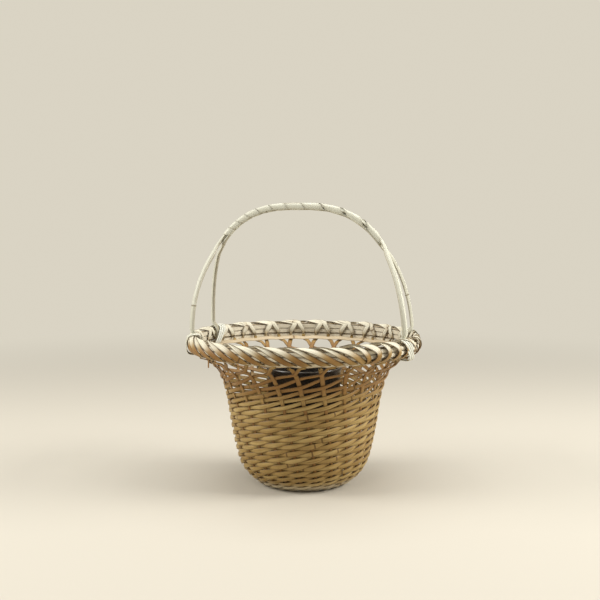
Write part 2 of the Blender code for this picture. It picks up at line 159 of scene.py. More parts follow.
def split_bamboo(
        name, pale, tan, brown=(0.09, 0.045, 0.012), pale_skin=(0.82, 0.78, 0.62), rough=0.45,
        relief=0.0002, fibrous=0.42, edged=0.8, gloss=0.25, pith_and_shade=0.0):
    """Split bamboo: long fibres, blotches, edges darkened partly as aged edges and partly as painted shade
    between strips, and the rings of its nodes. Where its marks say so it turns to a pale skin, partly
    fresher skin and partly painted light, or to a brown that is painted shade. Its flat inner side can
    be duller and darker, partly its own inner colour and partly painted shade."""
    finish = bpy.data.materials.new(name)
    finish.use_nodes = True
    nodes = finish.node_tree.nodes
    links = finish.node_tree.links
    shader = nodes["Principled BSDF"]

    def node(kind, **values):
        made = nodes.new(kind)
        for key, value in values.items():
            setattr(made, key, value)
        return made

    def maths(operation, first, second=0.0):
        made = node("ShaderNodeMath", operation=operation)
        for socket, value in zip(made.inputs, (first, second)):
            if isinstance(value, (int, float)):
                socket.default_value = value
            else:
                links.new(value, socket)
        return made.outputs[0]

    def blend(share, first, second):
        made = node("ShaderNodeMix", data_type="RGBA")
        for socket, value in zip((made.inputs[0], made.inputs[6], made.inputs[7]), (share, first, second)):
            if isinstance(value, tuple):
                socket.default_value = (*value, 1)
            else:
                links.new(value, socket)
        return made.outputs[2]

    def ramp(value, low, high):
        made = node("ShaderNodeMapRange", interpolation_type="SMOOTHSTEP")
        links.new(value, made.inputs[0])
        made.inputs[1].default_value = low
        made.inputs[2].default_value = high
        return made.outputs[0]

    def noise(along, across, detail, distortion):
        place = node("ShaderNodeCombineXYZ")
        links.new(maths("MULTIPLY", lengthwise, along), place.inputs[0])
        links.new(maths("MULTIPLY", crosswise, across), place.inputs[1])
        links.new(maths("MULTIPLY", tone, TONE_SHIFT), place.inputs[2])
        made = node("ShaderNodeTexNoise")
        links.new(place.outputs[0], made.inputs["Vector"])
        made.inputs["Scale"].default_value = 1
        made.inputs["Detail"].default_value = detail
        made.inputs["Distortion"].default_value = distortion
        return made.outputs[0]

    def mark(name):
        return node("ShaderNodeAttribute", attribute_name=name).outputs["Fac"]

    grain = node("ShaderNodeUVMap", uv_map="grain")
    split = node("ShaderNodeSeparateXYZ")
    links.new(grain.outputs[0], split.inputs[0])
    lengthwise, crosswise = split.outputs[0], split.outputs[1]
    tone = mark("tone")
    fibres = noise(*FIBRES)
    blotches = noise(*BLOTCHES)
    edge = ramp(maths("ABSOLUTE", maths("SUBTRACT", crosswise, 0.5)), *EDGE_RANGE)
    share = maths("FRACT", maths("DIVIDE", lengthwise, NODE_SPACING))
    from_node = maths("MULTIPLY", maths("ABSOLUTE", maths("SUBTRACT", share, 0.5)), NODE_SPACING)
    ring = ramp(from_node, *RING_RANGE)
    halo = ramp(from_node, *HALO_RANGE)

    colour = blend(ramp(tone, *TONE_RANGE), pale, tan)
    colour = blend(maths("MULTIPLY", ramp(blotches, *BLOTCH_RANGE), BLOTCH_SHARE), colour, tan)
    # The pale skin that the marks ask for: partly fresher skin, partly painted light on lit tops.
    colour = blend(maths("MULTIPLY", mark("paleness"), PALE_SKIN_SHARE), colour, pale_skin)
    # Painted shade: the brown that the marks ask for stands in for shade, not for rust.
    colour = blend(maths("MULTIPLY", mark("brown"), SHADE_BROWN_SHARE), colour, SHADE_BROWN)
    colour = blend(maths("MULTIPLY", ramp(fibres, *FIBRE_RANGE), fibrous), colour, brown)
    # Darker edges: partly aged edges, partly painted shade in the gaps between strips.
    colour = blend(maths("MULTIPLY", edge, edged), colour, brown)
    # The flat inner side darkened: partly the bamboo's own duller inner side, partly painted shade.
    colour = blend(maths("MULTIPLY", mark("pith_and_shade"), pith_and_shade), colour, PITH_AND_SHADE)
    colour = blend(maths("MULTIPLY", halo, HALO_SHARE), colour, tan)
    colour = blend(maths("MULTIPLY", ring, RING_SHARE), colour, brown)
    links.new(colour, shader.inputs["Base Color"])
    shader.inputs["Roughness"].default_value = rough
    shader.inputs["Specular IOR Level"].default_value = gloss
    bump = node("ShaderNodeBump")
    bump.inputs["Strength"].default_value = BUMP_STRENGTH
    bump.inputs["Distance"].default_value = relief
    height = maths("ADD", maths("MULTIPLY", fibres, FIBRE_HEIGHT), maths("MULTIPLY", ring, RING_HEIGHT))
    links.new(height, bump.inputs["Height"])
    links.new(bump.outputs[0], shader.inputs["Normal"])
    return finish


wall_bamboo = split_bamboo("wall_bamboo", pale=(0.47, 0.325, 0.115), tan=(0.30, 0.18, 0.05))


def dress(piece, finish, slot, *nodes, body="basket"):
    """Gives a piece its finish and the body that it moves with, and hides the frame's parts that it
    stands in for. The slot is not used.
    """
    piece.data.materials.append(finish)
    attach(piece, body)
    if nodes:
        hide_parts(*nodes)


mat_count = math.floor(MAT_RADIUS / MAT_PITCH)
for line in range(-mat_count, mat_count + 1):
    aside = line * MAT_PITCH
    half_length = math.sqrt(MAT_RADIUS ** 2 - aside ** 2)
    count = max(round(2 * half_length / MAT_PITCH) * MAT_STEPS, MAT_STEPS)
    for turned in (False, True):
        route = []
        for step in range(count + 1):
            along = half_length * (2 * step / count - 1)
            wave = math.cos(math.pi * along / MAT_PITCH) * (-1) ** (line + turned)
            place = Vector((along, aside, MAT_MIDDLE + MAT_WAVE * MAT_THICK * wave))
            if turned:
                place.x, place.y = aside, along
            route.append((place, Vector((0, 0, 1))))
        name = f"base_mat_{'across' if turned else 'along'}_{line + mat_count + 1:02d}"
        splint = lay_splint(name, squared(route), MAT_WIDTH, MAT_THICK, name)
        dress(splint, wall_bamboo, "wall_bamboo", "base_weave")


# Stakes. Twenty-four wider splints stand from under the base to the border and lean to the left as
# they rise. Each is bent round the waist hoop, rolls over the border to the right and tucks under it.
BODY_HEIGHT = 0.150
RIM_RADIUS = 0.116
SPLINT_COUNT = 24
STAKE_PITCH = math.tau / SPLINT_COUNT
STAKE_WIDTH = 0.0045
STAKE_THICK = 0.0009
STAKE_LEAN = math.radians(21)
STAKE_TOP = 0.953
STAKE_STEPS = 32
WALL_INSET = 0.0013
UNDER_REACH = 0.0065
GAP = 0.0003
WEAVE_TOP = 0.086
WEAVE_FADE = 0.012
DENSE_TAPER = 0.25
DENSE_INSET = 0.0005
DENSE_SHADE = 0.95
WALL_PROFILE_SHARES = (
    (0.290, 0.000), (0.352, 0.000), (0.398, 0.008), (0.457, 0.047), (0.543, 0.133), (0.590, 0.253),
    (0.631, 0.413), (0.664, 0.567), (0.707, 0.693), (0.748, 0.760), (0.802, 0.807), (0.866, 0.847),
    (0.921, 0.877),
)
PROFILE_PARTS = 10
FOOT_EDGE = 0.405


def cylindrical(radius, azimuth, height):
    """A place on the basket; azimuth 0 is the front and grows towards +X."""
    return Vector((radius * math.sin(azimuth), -radius * math.cos(azimuth), height))


def smooth_line(stops, parts):
    """Points along a smooth curve through the stops, with as many parts between each two."""
    ends = [2 * stops[0] - stops[1]] + stops + [2 * stops[-1] - stops[-2]]
    line = []
    for before, start, end, after in zip(ends, ends[1:], ends[2:], ends[3:]):
        for part in range(parts):
            share = part / parts
            bend = (2 * before - 5 * start + 4 * end - after) * share * share
            bend += (3 * start - before - 3 * end + after) * share * share * share
            line.append(start + ((end - before) * share + bend) / 2)
    return line + [stops[-1]]


profile_stops = [Vector((out * RIM_RADIUS, up * BODY_HEIGHT)) for out, up in WALL_PROFILE_SHARES]
profile = smooth_line(profile_stops, PROFILE_PARTS)
profile_reach = [0]
for here, ahead in zip(profile, profile[1:]):
    profile_reach.append(profile_reach[-1] + (ahead - here).length)
foot_at = next(at for at, place in zip(profile_reach, profile) if place.x > FOOT_EDGE * RIM_RADIUS)
profile_length = profile_reach[-1] - foot_at


def wall_place(rise, inset, azimuth):
    """(place, outward direction) at a length up the wall from the foot's edge, inset into the wall."""
    at = min(max(rise + foot_at, 0), profile_reach[-1])
    index = max(next((stop for stop, reach in enumerate(profile_reach) if reach >= at), 1) - 1, 0)
    along = (profile[index + 1] - profile[index]).normalized()
    spot = profile[index] + along * (at - profile_reach[index])
    out = Vector((along.y, -along.x))
    radius, height = spot - out * inset
    return cylindrical(radius, azimuth, height), cylindrical(out.x, azimuth, out.y)


def ring_size(node):
    """(inner radius, outer radius, bottom, top) of a turned piece of the frame."""
    spots = [vertex.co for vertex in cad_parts[node].data.vertices]
    reaches = [math.hypot(spot.x, spot.y) for spot in spots]
    heights = [spot.z for spot in spots]
    return min(reaches), max(reaches), min(heights), max(heights)


def eased(share):
    """Eases from 0 to 1 as share does, level at both ends."""
    share = min(max(share, 0), 1)
    return share * share * (3 - 2 * share)


def rising(value, start, over):
    """Eases from 0 to 1 as the value goes from start over that much more."""
    return eased((value - start) / over)


# The border's roll goes round the core hoop. Its folds lie close all the way round but at the front
# right, where they are slack, turn back in loops and swell away from the core.
BORDER_TURN = math.radians(7.5)
core_inner, core_outer, core_bottom, core_top = ring_size("rim_core_hoop")
waist_inner, waist_outer, waist_bottom, waist_top = ring_size("waist_hoop")
roll_radius = (core_inner + core_outer) / 2
roll_height = (core_bottom + core_top) / 2
ROLL_HALF_WIDTH = RIM_RADIUS - roll_radius - STAKE_THICK / 2
ROLL_HALF_HEIGHT = BODY_HEIGHT - roll_height - STAKE_THICK / 2
FOLD_STEPS = 30
FOLD_SWEEP = math.radians(26)
SWEEP_POWER = 1.35
FOLD_START = math.radians(212)
FOLD_END = math.radians(-104)
FOLD_RISE_SHARE = 0.27
FOLD_REACH = (0.95, 1.06)
FOLD_BULGE = (-0.0002, 0.0005)
APEX_LEAN = math.radians(2.6)
APEX_FADE = 0.5
LOOSE_AZIMUTH = math.radians(40)
LOOSE_HALF = math.radians(14)
LOOSE_FADE = math.radians(24)
LOOP_SWEEP = math.radians(12.5)
LOOP_BACK = 0.9 * math.pi
LOOP_SWELL = 0.0011


def looseness(azimuth):
    """How loosely the border is folded there, from 0 to 1."""
    away = abs((azimuth - LOOSE_AZIMUTH + math.pi) % math.tau - math.pi)
    return 1 - rising(away, LOOSE_HALF, LOOSE_FADE)


def fold_route(lean, chance, loose):
    """Up the inner side of the border, over its crest to the right, down the outer side and under.
    A loose one turns back in a short loop as it goes down."""
    vary = chance.uniform(*FOLD_REACH)
    bulge = chance.uniform(*FOLD_BULGE) + LOOP_SWELL * loose
    route = []
    for step in range(FOLD_STEPS + 1):
        share = step / FOLD_STEPS
        turn = FOLD_START + (FOLD_END - FOLD_START) * share
        run = max(share - FOLD_RISE_SHARE, 0) / (1 - FOLD_RISE_SHARE)
        apex = eased(share / FOLD_RISE_SHARE) * (1 - eased(run / APEX_FADE))
        tight = FOLD_SWEEP * (1 - (1 - run) ** SWEEP_POWER)
        azimuth = vary * (tight + loose * (LOOP_SWEEP * math.sin(LOOP_BACK * run) - tight))
        azimuth += lean * APEX_LEAN * apex
        swell = bulge * math.sin(math.pi * share)
        radius = roll_radius + (ROLL_HALF_WIDTH + swell) * math.cos(turn)
        height = roll_height + (ROLL_HALF_HEIGHT + swell) * math.sin(turn)
        out = cylindrical(math.cos(turn) / ROLL_HALF_WIDTH, azimuth, math.sin(turn) / ROLL_HALF_HEIGHT)
        route.append((cylindrical(radius, azimuth, height), out.normalized()))
    return route


# How far a splint's sections roll and widen as it folds, and over which share of the fold.
SHINGLE = math.radians(15)
SHINGLE_FROM = 0.6 * FOLD_RISE_SHARE
SHINGLE_EASE = 0.2
TUCK_FROM = 0.8
TUCK_EASE = 0.2
BORDER_SPREAD = 0.25
LOOP_SPREAD = 0.5
SPREAD_EASE = 0.08
LAP_TOP = 0.085
LAP_FADE = 0.02


def shingled(stations, loose, lap=0.0):
    """The stations of a splint, each section rolled a little: in the dense wall its lower edge laps
    over the row below, and in the border its leading edge lifts over its neighbour. There it also
    lies wider, most of all where the folds are loose."""
    first = len(stations) - 1 - FOLD_STEPS
    rolled = []
    for index, (place, across, facing) in enumerate(stations):
        share = (index - first) / FOLD_STEPS
        tucked = 1 - rising(share, TUCK_FROM, TUCK_EASE)
        if share < 0:
            roll = lap * (1 - rising(place.z, LAP_TOP, LAP_FADE))
        else:
            roll = SHINGLE * rising(share, SHINGLE_FROM, SHINGLE_EASE) * tucked
        spread = 1 + (BORDER_SPREAD + LOOP_SPREAD * loose) * eased(share / SPREAD_EASE) * tucked
        lifted = across * math.cos(roll) + facing * math.sin(roll)
        rolled.append((place, lifted * spread, facing * math.cos(roll) - across * math.sin(roll)))
    return rolled


# How pale and how brown a splint is painted, and the heights and distances over which that changes:
# the crest is painted paler as light, the openwork and the border's low outer side browner as shade.
FOOT_PALE = 0.55
FOOT_TOP = 0.003
FOOT_FADE = 0.009
OUTER_EASE = 0.004
CREST_EASE = 0.007
CREST_HIGHER = 0.006
LOW_EASE = 0.008
LOOSE_PALER = 0.5
OPEN_SHADE = 0.9
OPEN_FROM = 0.092
OPEN_EASE = 0.015
OPEN_UNTIL = 0.126
OPEN_END = 0.006


def fold_marks(stations):
    """(how pale, how brown) a splint is painted: pale at its foot, and up to the border's crest and over it,
    partly as fresher skin and partly as painted light on its lit top; brown as painted shade in the
    openwork and low on the border's outer side, less so where it is loose."""
    marks = []
    for place, _, _ in stations:
        foot = FOOT_PALE * (1 - rising(place.z, FOOT_TOP, FOOT_FADE))
        outer = rising(math.hypot(place.x, place.y), roll_radius, OUTER_EASE)
        crest = rising(place.z, roll_height - CREST_EASE + CREST_HIGHER * outer, CREST_EASE)
        slack = looseness(math.atan2(place.x, -place.y))
        low = (1 - LOOSE_PALER * slack) * (1 - rising(place.z, roll_height - LOW_EASE / 2, LOW_EASE))
        openwork = rising(place.z, OPEN_FROM, OPEN_EASE) * (1 - rising(place.z, OPEN_UNTIL, OPEN_END))
        marks.append((max(crest, foot), min(outer * low + OPEN_SHADE * openwork, 1)))
    return marks


def turned_route(route, azimuth):
    """A route turned about the basket's axis."""
    turning = Matrix.Rotation(azimuth, 3, "Z")
    return [(turning @ place, turning @ out) for place, out in route]


def stake_azimuth(rise):
    """A stake's azimuth against its place in the border, leaning left as it rises."""
    return STAKE_LEAN * (1 - rise / profile_length)


def behind_weave(height):
    """1 where the dense weave covers a stake, which is narrower there and painted brown as shade, and 0 above
    it.
    """
    return 1 - rising(height, WEAVE_TOP, WEAVE_FADE)


stake_bamboo = split_bamboo("stake_bamboo", pale=(0.46, 0.325, 0.12), tan=(0.31, 0.185, 0.05))
stake_reach = STAKE_TOP * profile_length + UNDER_REACH
stake_bend = waist_outer + GAP + STAKE_THICK / 2

for number in range(SPLINT_COUNT):
    name = f"stake_splint_{number + 1:02d}"
    azimuth = BORDER_TURN + STAKE_PITCH * number
    loose = looseness(azimuth)
    route = []
    for step in range(STAKE_STEPS + 1):
        rise = stake_reach * step / STAKE_STEPS - UNDER_REACH
        route.append(wall_place(rise, WALL_INSET, stake_azimuth(rise)))
    route.append((cylindrical(stake_bend, 0, waist_bottom - STAKE_THICK), cylindrical(1, 0, 0)))
    route += fold_route(-1, random.Random(name), loose)
    stations = []
    for place, across, facing in shingled(squared(turned_route(route, azimuth)), loose):
        hidden = behind_weave(place.z)
        place -= facing * DENSE_INSET * hidden
        stations.append((place, across * (1 - DENSE_TAPER * hidden), facing))
    # Where the dense weave covers it, the stake is painted brown as shade between the weavers.
    marks = [
        (paleness, max(brown, DENSE_SHADE * behind_weave(place.z)))
        for (paleness, brown), (place, _, _) in zip(fold_marks(stations), stations)
    ]
    splint = lay_splint(name, stations, STAKE_WIDTH, STAKE_THICK, name, marks)
    dress(splint, stake_bamboo, "stake_bamboo", f"stake_{number + 1:02d}")


# Weavers. Twenty-four narrower splints start under the base, climb to the right over and under the
# stakes in plain weave, part in the openwork and end in their own folds over the border.
WEAVER_WIDTH = 0.0040
WEAVER_THICK = 0.0010
ROW_PITCH = 0.0037
OPEN_ROWS = (0.1335, 0.1235, 0.1157, 0.1097, 0.1045, 0.0994, 0.0944, 0.0897, 0.0855)
DENSE_ROWS = 25
PARTS_PER_ROW = 6
DRIFT = 0.0002
DRIFT_TURN = 2.1
WEAVE_SWELL = 0.0012
OVER_SPAN = 1.28
UNDER_SPAN = 0.85
OPEN_SPAN = 0.98
OPEN_FADE = 0.015
FOOT_REACH = 0.012
FOOT_INSET = 0.0004
FOOT_FLAT = 0.4
LAP = math.radians(5)
weaver_bamboo = split_bamboo("weaver_bamboo", pale=(0.49, 0.35, 0.135), tan=(0.31, 0.19, 0.055))

# How far up the wall a weaver is at each stake, from the border down to the foot.
rows = [OPEN_ROWS[0], *OPEN_ROWS]
rows += [OPEN_ROWS[-1] - ROW_PITCH * (row + 1) for row in range(DENSE_ROWS)]


def row_rise(steps):
    """How far up the wall a weaver is, that many stakes before the border."""
    index = min(math.floor(steps), len(rows) - 2)
    before = rows[index - 1] if index > 1 else 2 * rows[1] - rows[2]
    stops = [before, rows[index], rows[index + 1], rows[min(index + 2, len(rows) - 1)]]
    return smooth_line(stops, PARTS_PER_ROW)[PARTS_PER_ROW + round((steps - index) * PARTS_PER_ROW)]


weaver_bend = waist_inner - GAP - WEAVER_THICK / 2
last_rise = (rows[1] + profile_length) / 2
for number in range(SPLINT_COUNT):
    name = f"weaver_splint_{number + 1:02d}"
    chance = random.Random(name)
    drift = chance.uniform(-DRIFT, DRIFT)
    azimuth = BORDER_TURN + STAKE_PITCH * (number + 0.5)
    loose = looseness(azimuth)
    route = []
    spans = []
    for part in range((len(rows) - 1) * PARTS_PER_ROW, PARTS_PER_ROW - 1, -1):
        steps = part / PARTS_PER_ROW
        rise = row_rise(steps) + drift * math.sin(DRIFT_TURN * steps)
        over = -math.cos(math.pi * steps)
        turn = stake_azimuth(rise) - steps * STAKE_PITCH + STAKE_PITCH / 2
        under_base = 1 - eased(rise / FOOT_REACH)
        inset = WALL_INSET + FOOT_INSET * under_base - WEAVE_SWELL * over * (1 - FOOT_FLAT * under_base)
        route.append(wall_place(rise, inset, turn))
        span = 1 + max(over, 0) * (OVER_SPAN - 1) + max(-over, 0) * (UNDER_SPAN - 1)
        dense = 1 - rising(rise, OPEN_ROWS[-1], OPEN_FADE)
        spans.append(OPEN_SPAN + (span - OPEN_SPAN) * dense)
    route.append(wall_place(last_rise, WALL_INSET + WEAVER_THICK, stake_azimuth(last_rise) - STAKE_PITCH / 4))
    for height in (waist_bottom, waist_top):
        route.append((cylindrical(weaver_bend, 0, height), cylindrical(1, 0, 0)))
    route += fold_route(1, chance, loose)
    stations = shingled(squared(turned_route(route, azimuth)), loose, LAP)
    spans += [1] * (len(stations) - len(spans))
    stations = [(place, across * span, facing) for (place, across, facing), span in zip(stations, spans)]
    splint = lay_splint(name, stations, WEAVER_WIDTH, WEAVER_THICK, name, fold_marks(stations))
    dress(splint, weaver_bamboo, "weaver_bamboo", f"weaver_{number + 1:02d}", "woven_wall")


# Hoops of the border. A wide splint runs round in the bend under the border, outside the weavers and
# inside the stakes. A bundle of narrower ones fills the roll that the splint ends are folded over.
HOOP_ROUND = 192
WAIST_RISE = 0.1458
WAIST_INSET = 0.0026
WAIST_WAVE = 0.0004
WAIST_SPLINT = (0.0056, 0.0009)
# A mark is how pale and how brown a hoop's splint is painted; the brown share is painted shade under the
# border.
WAIST_MARK = (0.45, 0.1)
CORE_SPLINT = (0.0044, 0.0015)
CORE_PROUD = 0.0005
CORE_MARK = (0.9, 0.05)
CREASE_PLACE = (0.1087, 0.1343)
CREASE_SPLINT = (0.0032, 0.0006)
CREASE_MARK = (0.8, 0)
CREST_SPLINT = (0.0042, 0.0010)
CREST_MARK = (0.6, 0.2)
rim_bamboo = split_bamboo(
    "rim_bamboo", pale=(0.52, 0.39, 0.18), tan=(0.38, 0.24, 0.08), brown=(0.12, 0.06, 0.018),
    pale_skin=(0.88, 0.83, 0.67), fibrous=0.2, edged=0.4,
)


def hoop(name, spot, size, mark, node):
    """A flat splint laid all the way round through the (place, outward) that spot gives for an azimuth.
    Its ends meet at the back."""
    route = [spot(math.pi + math.tau * step / HOOP_ROUND) for step in range(HOOP_ROUND + 1)]
    ring = lay_splint(name, squared(route), *size, name, [mark] * len(route))
    dress(ring, rim_bamboo, "rim_bamboo", node)


def waist_spot(azimuth):
    """In the bend, waving inwards behind each stake."""
    wave = WAIST_WAVE * math.cos(SPLINT_COUNT * (azimuth - BORDER_TURN))
    return wall_place(WAIST_RISE, WAIST_INSET + wave, azimuth)


def upright(radius, height):
    """The spot for a level hoop of that radius whose splint stands on its edge and faces outwards."""
    return lambda azimuth: (cylindrical(radius, azimuth, height), cylindrical(1, azimuth, 0))


def lying(radius, height):
    """The spot for a level hoop of that radius whose splint lies flat."""
    return lambda azimuth: (cylindrical(radius, azimuth, height), Vector((0, 0, 1)))


hoop("waist_splint", waist_spot, WAIST_SPLINT, WAIST_MARK, "waist_hoop")
core_aside = core_outer - roll_radius - CORE_SPLINT[1] / 2
core_apart = (CORE_SPLINT[0] + GAP) / 2
for side, aside in (("inner", -core_aside), ("outer", core_aside + CORE_PROUD)):
    for level, raised in (("low", -core_apart), ("high", core_apart)):
        spot = upright(roll_radius + aside, roll_height + raised)
        hoop(f"core_splint_{side}_{level}", spot, CORE_SPLINT, CORE_MARK, "rim_core_hoop")
filler = (core_top - core_bottom - 4 * GAP, core_outer - core_inner - 2 * (CORE_SPLINT[1] + GAP))
hoop("core_splint_middle", upright(roll_radius, roll_height), filler, CORE_MARK, "rim_core_hoop")
hoop("crease_splint", upright(*CREASE_PLACE), CREASE_SPLINT, CREASE_MARK, "rim_core_hoop")
for name, height in (("core_splint_crest", core_top - GAP), ("core_splint_under", core_bottom + GAP)):
    hoop(name, lying(roll_radius, height), CREST_SPLINT, CREST_MARK, "rim_core_hoop")


# Loose end. The end of one splint, painted brown with shade like the fold it comes from, has slipped out
# under the border at the front left, and hangs down with a slight curve.
LOOSE_END_AZIMUTH = math.radians(-53.5)
LOOSE_END_LENGTH = 0.0095
LOOSE_END_SIZE = (0.0022, 0.0006)
LOOSE_END_SWING = 0.012
LOOSE_END_FLARE = 0.0012
LOOSE_END_MARK = (0, 0.9)
LOOSE_END_STEPS = 8
route = []
for step in range(LOOSE_END_STEPS + 1):
    share = step / LOOSE_END_STEPS
    azimuth = LOOSE_END_AZIMUTH + LOOSE_END_SWING * share * share
    height = roll_height - ROLL_HALF_HEIGHT + STAKE_THICK - LOOSE_END_LENGTH * share
    out = cylindrical(1, azimuth, 0)
    route.append((cylindrical(roll_radius, azimuth, height) + out * LOOSE_END_FLARE * share, out))
marks = [LOOSE_END_MARK] * len(route)
loose_end = lay_splint("loose_end", squared(route), *LOOSE_END_SIZE, "loose", marks)
dress(loose_end, weaver_bamboo, "weaver_bamboo")


# Handle. Two flat strips of split bamboo stand inside the border at four feet, bend out over it, and
# lie one on the other at the top. Their pale skin is smooth, with a ridge and a ring at each node.
HANDLE_HEIGHT = 0.276
HANDLE_LEAN = 0.0051
HANDLE_TURN = math.radians(-11.25)
HANDLE_POWERS = (2.73, 1.99)
ARCH_STEPS = 90
STRIP_WIDTH = 0.0060
STRIP_THICK = 0.0030
STRIP_STEPS = 230
NODE_RIDGE = 0.13
JOIN_DEPTH = 0.034
FOOT_SPREAD = math.radians(19.5)
FOOT_DEPTH = 0.0130
FOOT_FLARE = 2.1
CRANK_DEPTH = 0.0040
CRANK_HEIGHT = 0.0100
foot_radius = roll_radius - ROLL_HALF_WIDTH - STAKE_THICK / 2 - GAP - STRIP_THICK / 2
join_height = HANDLE_HEIGHT - JOIN_DEPTH
handle_frame = Matrix.Rotation(HANDLE_TURN, 3, "Z")
# The flat inner sides of its strips are painted darker, partly for the bamboo's duller inner side and partly
# as painted shade on the legs.
handle_bamboo = split_bamboo(
    "handle_bamboo", pale=(0.79, 0.81, 0.74), tan=(0.66, 0.65, 0.53), brown=(0.20, 0.16, 0.09),
    rough=0.4, relief=0.00005, fibrous=0.1, edged=0.3, gloss=0.5, pith_and_shade=0.75,
)

border_reach = roll_radius * math.cos(FOOT_SPREAD)
border_apart = roll_radius * math.sin(FOOT_SPREAD)
arch = [Vector((-border_reach, BODY_HEIGHT - FOOT_DEPTH))]
for step in range(-ARCH_STEPS, ARCH_STEPS + 1):
    across = math.sin(math.pi / 2 * step / ARCH_STEPS)
    share = (1 - abs(across) ** HANDLE_POWERS[0]) ** (1 / HANDLE_POWERS[1])
    rise = (HANDLE_HEIGHT - BODY_HEIGHT) * share
    arch.append(Vector((across * border_reach - HANDLE_LEAN * share, BODY_HEIGHT + rise)))
arch.append(Vector((border_reach, BODY_HEIGHT - FOOT_DEPTH)))
arch_reach = [0]
for here, ahead in zip(arch, arch[1:]):
    arch_reach.append(arch_reach[-1] + (ahead - here).length)
arch_length = arch_reach[-1]


def arch_at(at):
    """(place, outward, along) at a length along the handle's middle line, in the handle's own plane."""
    past = next(stop for stop, reach in enumerate(arch_reach) if reach >= min(at, arch_length))
    index = max(past - 1, 0)
    step = (arch[index + 1] - arch[index]).normalized()
    spot = arch[index] + step * (at - arch_reach[index])
    return Vector((spot.x, 0, spot.y)), Vector((-step.y, 0, step.x)), Vector((step.x, 0, step.y))


def handle_strip(name, side, node, twisted, leg_wide, leg_thick, start):
    """One strip of the handle, on side -1, the front, which lies outside at the top, or +1, the back.
    Its legs can be twisted to face away from the basket's axis, and wider and thicker than its top."""
    route = []
    legs = []
    for step in range(STRIP_STEPS + 1):
        place, out, _ = arch_at(arch_length * step / STRIP_STEPS)
        joined = min(max((place.z - BODY_HEIGHT) / (join_height - BODY_HEIGHT), 0), 1)
        apart = border_apart * (1 - joined ** FOOT_FLARE)
        stacked = 1 - rising(apart, STRIP_WIDTH / 2, 3 * STRIP_WIDTH / 2)
        place -= out * side * stacked * (STRIP_THICK + GAP) / 2
        place.y = side * apart
        drawn = 1 - eased((place.z - BODY_HEIGHT + CRANK_DEPTH) / CRANK_HEIGHT)
        share = 1 - drawn * (1 - foot_radius / roll_radius)
        twist = drawn + (1 - drawn) * twisted
        facing = Vector((out.x, twist * out.x * place.y / place.x if apart else 0, out.z))
        place.x *= share
        place.y *= share
        route.append((handle_frame @ place, handle_frame @ facing))
        legs.append((1 - stacked) * (1 - drawn))
    stations = [
        (place, across * (1 + (leg_wide - 1) * leg), facing * (1 + (leg_thick - 1) * leg))
        for (place, across, facing), leg in zip(squared(route), legs)
    ]
    strip = lay_splint(name, stations, STRIP_WIDTH, STRIP_THICK, name, start=start, ridge=NODE_RIDGE)
    dress(strip, handle_bamboo, "handle_bamboo", node)


handle_strip(
    "handle_strip_front", -1, "handle_hoop_front", twisted=1.0, leg_wide=1.08, leg_thick=1.5, start=0.051,
)
handle_strip(
    "handle_strip_back", 1, "handle_hoop_back", twisted=0.0, leg_wide=1.0, leg_thick=1.15, start=0.11,
)


# Handle wrap. A thin splint of the handle's pale bamboo is wound round both strips where they lie
# together, close on the left and ever wider to the right.
WRAP_WIDTH = 0.0080
WRAP_WIDEST = 0.0190
WRAP_COVER = 0.98
WRAP_THICK = 0.0004
WRAP_PITCH_LEFT = 0.0085
WRAP_PITCH_RIGHT = 0.027
WRAP_STEPS = 32
WRAP_SLACK = 0.0001
WRAP_POWER = 2.6
WRAP_RISE = 0.0069
MOST_STRETCH = 1.6


def wound_flat(route):
    """Stations for a splint wound on a core, from (place, outward, along the core) stops: its
    section lies along the core, so that it bends flat."""
    stations = []
    for index, (place, out, along) in enumerate(route):
        ahead = route[min(index + 1, len(route) - 1)][0] - route[max(index - 1, 0)][0]
        facing = (out - along * out.dot(along)).normalized()
        stretch = ahead.length / abs(ahead.dot(facing.cross(along)))
        stations.append((place, along * min(stretch, MOST_STRETCH), facing))
    return stations


index = next(stop for stop, spot in enumerate(arch) if spot.y >= join_height + WRAP_RISE)
share = (join_height + WRAP_RISE - arch[index - 1].y) / (arch[index].y - arch[index - 1].y)
wrap_start = arch_reach[index - 1] + (arch_reach[index] - arch_reach[index - 1]) * share
growth = (WRAP_PITCH_RIGHT - WRAP_PITCH_LEFT) / (arch_length - 2 * wrap_start)
turns = math.log(WRAP_PITCH_RIGHT / WRAP_PITCH_LEFT) / growth
steps = round(turns * WRAP_STEPS)
half_out = STRIP_THICK + GAP / 2 + WRAP_SLACK + WRAP_THICK / 2
half_side = STRIP_WIDTH / 2 + WRAP_SLACK + WRAP_THICK / 2
route = []
covers = []
for step in range(steps + 1):
    turned_by = turns * step / steps
    grown = math.exp(turned_by * growth)
    place, out, along = arch_at(wrap_start + WRAP_PITCH_LEFT / growth * (grown - 1))
    across, side = math.cos(math.tau * turned_by), -math.sin(math.tau * turned_by)
    square = (abs(across) ** WRAP_POWER + abs(side) ** WRAP_POWER) ** (-1 / WRAP_POWER)
    place += out * half_out * across * square + Vector((0, half_side * side * square, 0))
    facing = out * across * abs(across) ** (WRAP_POWER - 2)
    facing += Vector((0, side * abs(side) ** (WRAP_POWER - 2), 0))
    route.append(tuple(handle_frame @ part for part in (place, facing, along)))
    covers.append(min(WRAP_COVER * WRAP_PITCH_LEFT * grown, WRAP_WIDEST) / WRAP_WIDTH)
stations = [
    (place, along.normalized() * cover, facing)
    for (place, along, facing), cover in zip(wound_flat(route), covers)
]
wrap = lay_splint("handle_winding", stations, WRAP_WIDTH, WRAP_THICK, "wrap")
dress(wrap, handle_bamboo, "handle_bamboo", "handle_wrap")


# Foot lashings. Each foot of the handle is tied to the border with a splint of the handle's pale
# bamboo, wound three times round both, and leaning.
LASHING_WIDTH = 0.0027
LASHING_THICK = 0.0007
LASHING_PITCH = 0.0040
LASHING_TURNS = 3
LASHING_STEPS = 36
LASHING_POWER = 3.2
LASHING_CLEAR = 0.0022
LASHING_LIFT = 0.0012
LASHING_PROUD = 0.0009


